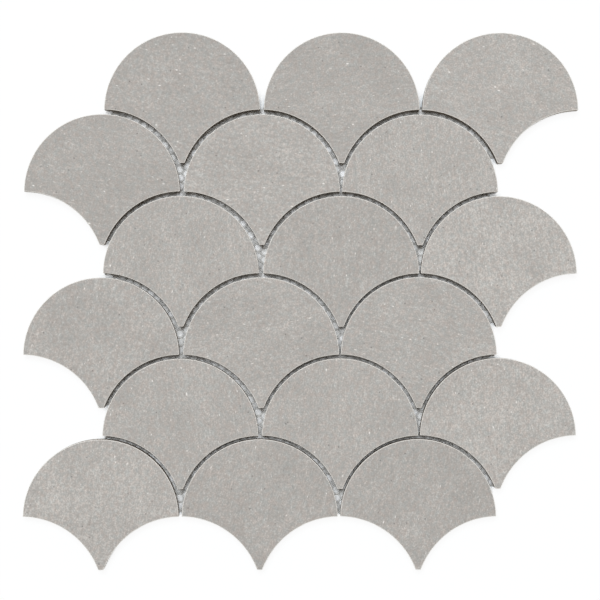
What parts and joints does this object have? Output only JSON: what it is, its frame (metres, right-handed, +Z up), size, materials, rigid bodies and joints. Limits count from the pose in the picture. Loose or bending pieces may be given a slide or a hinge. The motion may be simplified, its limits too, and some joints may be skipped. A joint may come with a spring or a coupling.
{
  "type": "fish scale tile",
  "caption": "Sheet of fish-scale mosaic: light grey matt porcelain scales in overlapping rows, glued to a knitted net, with notched edges that interlock with the next sheet.",
  "frame": {"origin": "centre of the sheet's outline, on the floor that it lies on", "axes": "+Z up out of the scales' faces; +Y towards the top row, away from the tips; +X to the right along the rows"},
  "size_m": [0.262, 0.2538, 0.0085],
  "materials": {
    "porcelain": "matt through-body porcelain, light warm grey, finely speckled",
    "net_yarn": "knitted polyester yarn, light grey, stiffened by dried glue"
  },
  "bodies": {
    "root": {"scale_r1_c1": "porcelain", "scale_r1_c2": "porcelain", "scale_r1_c3": "porcelain", "scale_r2_c1": "porcelain", "scale_r2_c2": "porcelain", "scale_r2_c3": "porcelain", "scale_r3_c1": "porcelain", "scale_r3_c2": "porcelain", "scale_r3_c3": "porcelain", "scale_r4_c1": "porcelain", "scale_r4_c2": "porcelain", "scale_r4_c3": "porcelain", "scale_r5_c1": "porcelain", "scale_r5_c2": "porcelain", "scale_r5_c3": "porcelain", "scale_r6_c1": "porcelain", "scale_r6_c2": "porcelain", "scale_r6_c3": "porcelain", "net_rising": "net_yarn", "net_falling": "net_yarn"}
  },
  "joints": []
}
